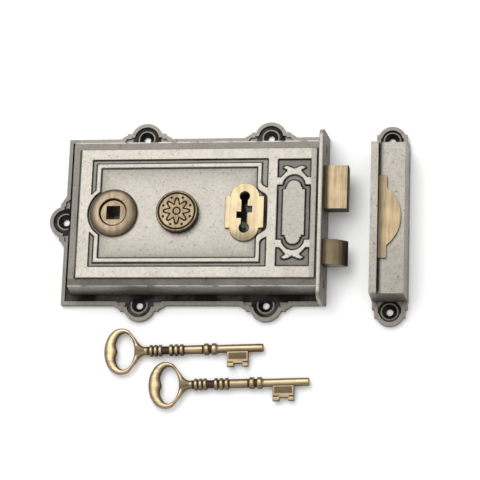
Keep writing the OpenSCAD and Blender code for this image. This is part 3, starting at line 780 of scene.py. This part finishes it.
# %% Turn and engrave the badge
def build_badge(rim=12.4, rise=4.0, edge=0.8, petals=8):
    """z = top, less a cut where the point is near the ring, near the petals' outline r = 6 + 1.7 cos 8a, near the
    small middle circle, or near a dot between two petals."""
    foot, top = face_z - relief, face_z + rise
    radius = np.concatenate([np.linspace(0, rim - edge, 100),
                             rim - edge + edge * np.sin(np.linspace(0.1, math.pi / 2, 8)), [rim]])
    angle = np.arange(256) * 2 * math.pi / 256
    r, a = np.meshgrid(radius, angle, indexing="ij")
    petal = np.abs(r - 6.0 - 1.7 * np.cos(petals * a)) / (1 + 1.2 * np.abs(np.sin(petals * a)))
    between = a % (2 * math.pi / petals) - math.pi / petals
    dot = np.hypot(r * np.cos(between) - 8.6, r * np.sin(between))
    lines = [np.abs(r - 10.75) / 0.42, petal / 0.30, np.abs(r - 2.1) / 0.28, dot / 0.55]
    cut = np.max([smooth(1.5 - line) for line in lines], axis=0)
    roll = np.clip((r - (rim - edge)) / edge, 0, 1)
    z = top - 0.35 * cut - edge * (1 - np.sqrt(1 - roll ** 2))
    z[-1] = foot
    points = np.stack([badge_x + r * np.cos(a), r * np.sin(a), z], axis=-1)
    grime = np.maximum(cut, 0.9 * smooth((r - 12.2) / 0.15))
    return surface("badge_face", points, wrap_v=True, sharp=50, grime=grime)


badge = place(build_badge(), "lock", "antique_brass", badge_brass, "badge")

# %% [markdown]
# ## Flat brass: the escutcheon, the bolts and the strike
# These are filed and brushed from plate and bar, and their outlines are exact in the frame. Softened
# copies catch a fine line of light on each edge.

# %% Soften the flat brass
escutcheon = place(softened("escutcheon", 0.35), "lock", "antique_brass", plate_brass, "escutcheon")
dead_bolt = place(softened("dead_bolt", 0.7), "dead_bolt", "antique_brass", bolt_brass, "dead_bolt")
latch_bolt = place(softened("latch_bolt", 0.6), "latch", "antique_brass", bolt_brass, "latch_bolt")
strike = place(softened("keep_strike", 0.35), "keep", "antique_brass", strike_brass, "keep_strike")

# %% [markdown]
# ## The keys: the bow
# A key of this kind is cast in one piece, but bow, stem and bit are different surfaces, so each is made
# by its own function, and both keys share them. The bow is an oval loop of rounded section. A bent tube
# would be equally thick all round, so the loop runs between two outlines instead, an outer egg and an
# inner oval with a cusp.

# %% Shape the bow
def build_bow(name, settle):
    """Ring between an outer egg and an inner oval. At angle u the section is an ellipse from one outline to the
    other, as thick as the casting. The inner outline has a cusp that points at the neck."""
    u = np.arange(144) * 2 * math.pi / 144
    v = np.arange(28) * 2 * math.pi / 28
    shoulder = 1 - 0.14 * smooth((np.cos(u) - 0.35) / 0.4)
    outer = np.stack([10.6 + 10.6 * np.cos(u) - 0.6 * np.sin(u) ** 2, 13.7 * np.sin(u) * shoulder], -1)
    cusp = 1.6 * np.exp(-((u - math.pi) / 0.24) ** 2)
    inner = np.stack([12.1 + 5.9 * np.cos(u) + cusp, 10.8 * np.sin(u) * (1 - 0.05 * np.cos(u))], -1)
    centre, arm = (outer + inner) / 2, (outer - inner) / 2
    across = np.sign(np.cos(v)) * np.abs(np.cos(v)) ** 0.8
    flat = centre[:, None, :] + arm[:, None, :] * across[None, :, None]
    z = 2.15 * np.sign(np.sin(v)) * np.abs(np.sin(v)) ** 0.8 + np.zeros((len(u), 1))
    # Painted shade: the loop's sides are darker, the inner side most.
    grime = (np.abs(across) ** 4 * 0.6 + np.clip(-across, 0, 1) * 0.35)[None, :] + np.zeros((len(u), 1))
    return surface(name, settle(np.dstack([flat, z])), wrap_u=True, wrap_v=True, grime=grime)


# %% [markdown]
# ## The keys: the stem
# The stem is turned, with three groups of rings, and flares into a flat neck that grips the bow. A lathe alone
# can't flatten the neck, so width and thickness are two separate curves along the stem. Brown stays between the
# rings, darkened further by painted shade, and the stem's sides and the notch between the neck's arms are darkened
# as painted shade.

# %% Turn the stem
RING_RADIUS = 3.5
RING_PLACES = [(28.0, 2.1), (30.7, 2.1), (33.4, 2.1), (39.8, 2.2), (42.9, 2.2), (46.0, 2.2),
               (60.6, 3.0), (65.1, 3.0)]


def build_stem(name, settle):
    """Half-width and half-thickness as functions of the distance from the bow's end: a neck that narrows as a
    power curve, a plain stem, a round bump for each ring, and a rounded tip."""
    x = np.concatenate([np.linspace(18.7, 26, 40), np.linspace(26, 66.4, 420), np.linspace(66.5, 93.2, 30),
                        94.3 - 1.1 * np.cos(np.linspace(0, math.pi / 2, 8))])
    neck = np.clip((24.2 - x) / 5.5, 0, 1)
    wide = np.where(x < 66.2, 2.5, 2.15) + 4.8 * neck ** 2
    thick = np.where(x < 66.2, 2.5, 2.15) - 0.5 * smooth(neck * 2)
    waist = 0.14 * smooth((x - 46) / 2) * smooth((59.5 - x) / 2) - 0.10 * smooth(x - 33.2) * smooth(39 - x)
    wide, thick = wide + waist, thick + waist
    for ring_x, width in RING_PLACES:
        bump = np.clip(1 - np.abs((x - ring_x) / (width / 2)) ** 3, 0, 1) ** (1 / 3)
        raised = 2.4 + (RING_RADIUS - 2.4) * bump
        wide, thick = np.maximum(wide, raised), np.maximum(thick, raised)
    tip = np.sqrt(np.clip(1 - (np.clip(x - 93.2, 0, 1.1) / 1.1) ** 2, 0, 1))
    v = np.arange(36) * 2 * math.pi / 36
    points = np.stack([x[:, None] + 0 * v, np.outer(wide * tip, np.cos(v)), np.outer(thick * tip, np.sin(v))], -1)
    ringed = smooth(x - 25) * smooth(67.5 - x)
    # Dark between the rings: brown left in the grooves, with painted shade.
    blackening_and_shade = np.clip((3.2 - wide) / 0.4, 0, 1) * ringed * np.where((x > 48) & (x < 58.2), 0.15, 1)
    # Painted shade on the stem's sides and in the notch between the neck's arms.
    sides = 0.85 * np.abs(np.cos(v)) ** 2.5
    between_arms = np.outer(smooth((25.5 - x) / 2.5), smooth((0.75 - np.abs(np.cos(v))) / 0.5)) * 0.75
    shade = np.maximum(np.maximum(blackening_and_shade[:, None] * 0.95 + 0 * v, between_arms), sides[None, :] + 0 * x[:, None])
    return surface(name, settle(points), wrap_v=True, grime=shade)


# %% [markdown]
# ## The keys: the bit
# The bit is a filed plate with two teeth and a sunken field of small studs. Three pillow-edged plates
# overlap into one outline. Front and back of a plate are the same height field, and their rims are merged
# into a closed skin.

# %% File the bit
BIT_PLATES = [(72.6, 85, -8.9, -1.0), (72.6, 76.6, -10.8, -7.5), (81.6, 85, -10.8, -7.5)]


def pillow(x0, x1, y0, y1, half, roll=0.35, steps=26):
    """Closed plate: x and y run over its rectangle, front at +half and back at -half, edges rolled by a quarter
    circle of that radius. Returns one grid that goes over the front and returns under the back."""
    def lines(low, high):
        turn = roll * (1 - np.cos(np.linspace(0, math.pi / 2, 6)))
        return np.concatenate([low + turn, np.linspace(low + roll, high - roll, steps)[1:-1], (high - turn)[::-1]])
    x, y = np.meshgrid(lines(x0, x1), lines(y0, y1), indexing="ij")
    rim = np.minimum(np.minimum(x - x0, x1 - x), np.minimum(y - y0, y1 - y))
    drop = roll * (1 - np.sqrt(np.clip(1 - (1 - np.clip(rim / roll, 0, 1)) ** 2, 0, 1)))
    return x, y, half - drop


def build_bit(name, settle):
    """Plate with two teeth and a grid of small studs. Front and back are one height field, joined at the rim."""
    made = []
    for number, (x0, x1, y0, y1) in enumerate(BIT_PLATES):
        x, y, z = pillow(x0, x1, y0, y1, 1.27)
        studs = 0.5 + 0.5 * np.cos(2 * math.pi * x / 1.55) * np.cos(2 * math.pi * y / 1.35)
        field = smooth((y + 6.7) / 0.4) * smooth((-2.6 - y) / 0.4)
        field = field * smooth((x - 73.4) / 0.5) * smooth((84.2 - x) / 0.5) * (number == 0)
        cut = field * (1 - studs)
        grime = 0.9 * np.clip(0.35 + 1.3 * cut, 0, 1)
        all_cells = np.ones((x.shape[0] - 1, x.shape[1] - 1), bool)
        for side, label in ((1, "front"), (-1, "back")):
            points = settle(np.stack([x, y, side * (z - 0.30 * cut)], -1))[:, ::side]
            made.append(surface(f"{name}_{label}_{number}", points, keep=all_cells, sharp=60,
                                grime=grime[:, ::side]))
    return joined(name, made)


def joined(name, pieces):
    """One object of several meshes: their points are put together and the seams merged."""
    work = bmesh.new()
    for piece in pieces:
        work.from_mesh(piece.data)
        mesh = piece.data
        bpy.data.objects.remove(piece)
        bpy.data.meshes.remove(mesh)
    merged = bpy.data.meshes.new(name)
    bmesh.ops.remove_doubles(work, verts=work.verts, dist=2e-6)
    work.to_mesh(merged)
    work.free()
    merged.set_sharp_from_angle(angle=math.radians(60))
    return new_object(name, merged)


# %% [markdown]
# ## The keys: laying them out
# The keys lie flat on the bench, turned a little. A finished piece must stand at the origin, unturned, or
# its pattern would slide, so it is the points that are turned and moved, before they become a mesh.

# %% Lay out both keys
KEY_TURN = math.radians(1.85)
KEY_AXIS_HEIGHT = 3.5
BOW_HALF = 14.15


def key_frame(node):
    """Function that turns points along a key's own axis into the row frame: turned about the upright axis, then
    moved so that the bow's end is at the node's left end."""
    low, high = low_high(node)
    start = np.array([low[0], high[1] - BOW_HALF, KEY_AXIS_HEIGHT])
    turned = np.array([[math.cos(KEY_TURN), math.sin(KEY_TURN), 0.0],
                       [-math.sin(KEY_TURN), math.cos(KEY_TURN), 0.0], [0.0, 0.0, 1.0]])
    return lambda points: start + points @ turned


for key in ("key_1", "key_2"):
    settle = key_frame(key)
    place(build_bow(key + "_bow", settle), key, "antique_brass", key_brass, key)
    place(build_stem(key + "_stem", settle), key, "antique_brass", key_brass)
    place(build_bit(key + "_bit", settle), key, "antique_brass", key_brass)

# %% [markdown]
# ## Works inside the case
# The levers, springs, posts, plates and screws are exact in the frame and hardly seen, so they keep their
# own shapes. They still get the finish of what they are: machined steel, blued springs and stamped sheet
# brass.

# %% Finish the hidden works
WORKS = {
    "pewter case": ["forend_screws"],
    "plain steel": ["back_plate", "cap_screws", "badge_stud", "escutcheon_studs", "bolt_stump",
                    "bolt_guide", "latch_tail", "spring_stop", "latch_guides", "lever_post", "keep_strike_studs"],
    "blued spring steel": ["lever_spring_1", "lever_spring_2", "lever_spring_3"],
    "sheet brass": ["lever_1", "lever_2", "lever_3"],
}
for finish, names in WORKS.items():
    for name in names:
        mesh = nodes[name].data
        mesh.materials.clear()
        mesh.materials.append(bpy.data.materials[finish])
print("works finished:", sum(len(names) for names in WORKS.values()))

# %% [markdown]
# ## The latch's coil spring
# A wire coil round the latch's tail pushes the bolt out. It is the one hidden piece that gets much shorter in use,
# so it can't simply ride on a body. It is built new, as a wire along a helix.

# %% Wind the coil spring
def wind_spring(wire=0.5, turns=10):
    """Wire's middle: x runs evenly from end to end while y and z go round a circle. Round it, at angle v, the wire
    adds wire sin v along x and wire cos v to the circle's radius. Both ends close to a point."""
    low, high = low_high("latch_spring")
    t = np.linspace(0, 1, turns * 24 + 1)[:, None]
    v = np.arange(10) * 2 * math.pi / 10
    thick = wire * ((t > 0) & (t < 1))
    r = (high[1] - low[1]) / 2 - wire + thick * np.cos(v)
    x = low[0] + wire + (high[0] - low[0] - 2 * wire) * t + thick * np.sin(v)
    turned = 2 * math.pi * turns * t
    y0, z0 = middle("latch_spring")[1:]
    return surface("latch_coil", np.stack([x, y0 + r * np.cos(turned), z0 + r * np.sin(turned)], -1), wrap_v=True)


coil = place(wind_spring(), "lock", "spring_steel", spring_blue, "latch_spring")
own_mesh(coil)

# %% [markdown]
# ## The bench
# The things lie on a plain white bench. It is a single large face, a hair below the castings so that the two don't
# flicker where they touch. It is not part of the object.

# %% Bench
bench_mesh = bpy.data.meshes.new("bench")
side, drop = 4.0, -0.3 * MM
bench_mesh.from_pydata([(-side, -side, drop), (side, -side, drop), (side, side, drop), (-side, side, drop)], [],
                       [(0, 1, 2, 3)])
bench = new_object("bench", bench_mesh)
paper = bpy.data.materials.new("white bench")
paper.use_nodes = True
paper.node_tree.nodes["Principled BSDF"].inputs["Base Color"].default_value = (0.96, 0.96, 0.96, 1)
paper.node_tree.nodes["Principled BSDF"].inputs["Roughness"].default_value = 0.9
paper.node_tree.nodes["Principled BSDF"].inputs["Specular IOR Level"].default_value = 0.1
bench_mesh.materials.append(paper)
print("bench:", 2 * side, "m wide")

# %% [markdown]
# ## Light
# One large soft lamp hangs level on the upper left, so that shadows fall short and soft to the lower
# right, and the pale tops of the metal mirror it. The sky is bright overhead and dimmer at the sides,
# which keeps the walls of the case darker than its face. Metal shows what it mirrors, so the sky matters
# as much as the lamp.

# %% Lamp and sky
def soft_lamp(name, place, size, power):
    """Rectangular lamp that hangs level and shines straight down, and isn't seen by the camera."""
    lamp = bpy.data.lights.new(name, "AREA")
    lamp.shape = "RECTANGLE"
    lamp.size, lamp.size_y = size
    lamp.energy = power
    holder = bpy.data.objects.new(name, lamp)
    bpy.context.scene.collection.objects.link(holder)
    holder.location = place
    holder.visible_camera = False


soft_lamp("key lamp", (-0.24, 0.52, 1.0), (0.60, 1.05), 6.9)

world = bpy.data.worlds.new("studio")
bpy.context.scene.world = world
world.use_nodes = True
sky = Nodes(world.node_tree)
background = world.node_tree.nodes["Background"]
height = sky.add("ShaderNodeSeparateXYZ", {0: sky.add("ShaderNodeTexCoord").outputs["Generated"]}).outputs[2]
glow = sky.mix(sky.ramp(height, 0.25, 0.95), (0.46, 0.46, 0.46, 1), (1.18, 1.19, 1.19, 1))
seen = sky.add("ShaderNodeLightPath").outputs["Is Camera Ray"]
sky.put(background.inputs["Color"], sky.mix(seen, glow, (0.95, 0.95, 0.95, 1)))
background.inputs["Strength"].default_value = 1.0

# %% [markdown]
# ## Camera
# The camera stands a good metre away with a long lens, a little to the right of the lock and below it, so
# that the faces are nearly square to it and just a sliver of the near walls shows. A far camera keeps
# parallel edges parallel.

# %% Camera
camera_data = bpy.data.cameras.new("camera")
camera_data.sensor_width = 36.0
camera_data.lens = 153.1
camera_data.clip_end = 20.0
camera = bpy.data.objects.new("camera", camera_data)
bpy.context.scene.collection.objects.link(camera)
camera.rotation_mode = "ZYX"
camera.rotation_euler = (math.radians(15.09), math.radians(8.66), math.radians(-0.25))
camera.location = (0.2015, -0.3201, 1.1473)
bpy.context.scene.camera = camera
bpy.context.scene.view_settings.view_transform = "Standard"
print("camera:", camera_data.lens, "mm lens at", tuple(round(v, 3) for v in camera.location))

# %% [markdown]
# ## Size
# The exact solids set the size, and the finished pieces must not outgrow them.
